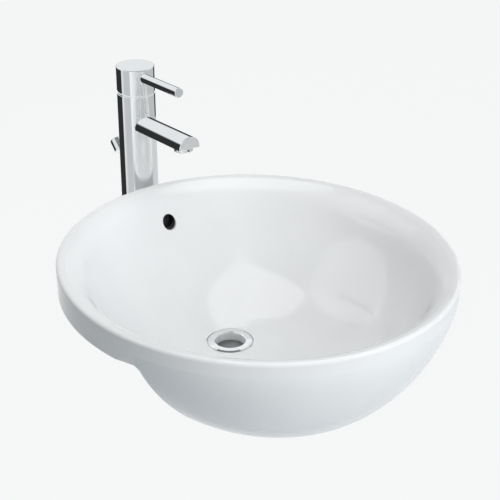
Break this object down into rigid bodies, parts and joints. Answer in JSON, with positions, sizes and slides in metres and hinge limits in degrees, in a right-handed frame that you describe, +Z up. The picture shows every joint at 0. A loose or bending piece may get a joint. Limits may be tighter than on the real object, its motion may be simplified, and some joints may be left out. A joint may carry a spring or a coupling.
{
  "type": "countertop basin",
  "caption": "Semi-recessed white ceramic washbasin with a full front bowl, a single-lever chrome mixer tap and a lift-rod pop-up waste, ready to stand on a counter.",
  "frame": {"origin": "on the counter's top surface, under the centre of the rim", "axes": "+X to the right of a person at the basin, +Y back towards the wall, +Z up"},
  "size_m": [0.47, 0.6057, 0.432],
  "materials": {
    "glazed_white": "smooth white glaze",
    "chrome_plate": "polished",
    "bare_brass": "turned",
    "plain_steel": "brushed",
    "black_rubber": "matt",
    "pale_plastic": "moulded",
    "disc_ceramic": "lapped"
  },
  "bodies": {
    "basin": {"basin_bowl": "glazed_white", "waste_body": "chrome_plate", "waste_flange_seal": "black_rubber", "waste_lower_seal": "black_rubber", "waste_washer": "pale_plastic", "waste_lock_nut": "bare_brass", "waste_tail": "chrome_plate", "tail_seal": "black_rubber", "pivot_seal": "pale_plastic", "pivot_nut": "chrome_plate", "tap_body": "chrome_plate", "base_gasket": "black_rubber", "tap_stud": "plain_steel", "tap_clamp_plate": "plain_steel", "stud_nut": "bare_brass", "spout": "chrome_plate", "aerator_shell": "chrome_plate", "aerator_core": "pale_plastic", "aerator_seal": "black_rubber", "cartridge_seals": "black_rubber", "cartridge_housing": "pale_plastic", "fixed_disc": "disc_ceramic", "bonnet": "chrome_plate"},
    "lift": {"lift_rod": "chrome_plate", "lift_knob": "chrome_plate", "linkage_strap": "plain_steel", "strap_screw": "bare_brass", "rod_clip": "plain_steel"},
    "pivot": {"pivot_rod": "plain_steel"},
    "plug": {"waste_plug": "chrome_plate", "plug_seal": "black_rubber"},
    "rotor": {"cartridge_rotor": "pale_plastic", "stem_pin": "plain_steel"},
    "handle": {"cartridge_stem": "bare_brass", "handle_cap": "chrome_plate", "lever_pin": "chrome_plate", "handle_screw": "plain_steel"},
    "disc": {"moving_disc": "disc_ceramic"}
  },
  "joints": [
    {"name": "lift_slide", "type": "slide", "parent": "basin", "child": "lift", "axis": [0, 0, 1], "range_m": [-0.024, 0]},
    {"name": "pivot_swing", "type": "hinge", "parent": "basin", "child": "pivot", "pos_m": [0, 0.0926, -0.192], "axis": [1, 0, 0], "range_deg": [-10.7, 0]},
    {"name": "plug_lift", "type": "slide", "parent": "basin", "child": "plug", "axis": [0, 0, 1], "range_m": [0, 0.006]},
    {"name": "handle_swivel", "type": "hinge", "parent": "basin", "child": "rotor", "pos_m": [0, 0.286, 0.1426], "axis": [0, 0, 1], "range_deg": [-45, 45]},
    {"name": "handle_tilt", "type": "hinge", "parent": "rotor", "child": "handle", "pos_m": [0, 0.286, 0.1426], "axis": [-1, 0, 0], "range_deg": [0, 20]},
    {"name": "disc_slide", "type": "slide", "parent": "rotor", "child": "disc", "axis": [0, -1, 0], "range_m": [0, 0.0024]}
  ],
  "couplings": [
    {"joint": "pivot_swing", "follows": "lift_slide", "rad_per_m": 7.6923},
    {"joint": "plug_lift", "follows": "lift_slide", "ratio": -0.24615},
    {"joint": "disc_slide", "follows": "handle_tilt", "m_per_rad": 0.0068}
  ]
}
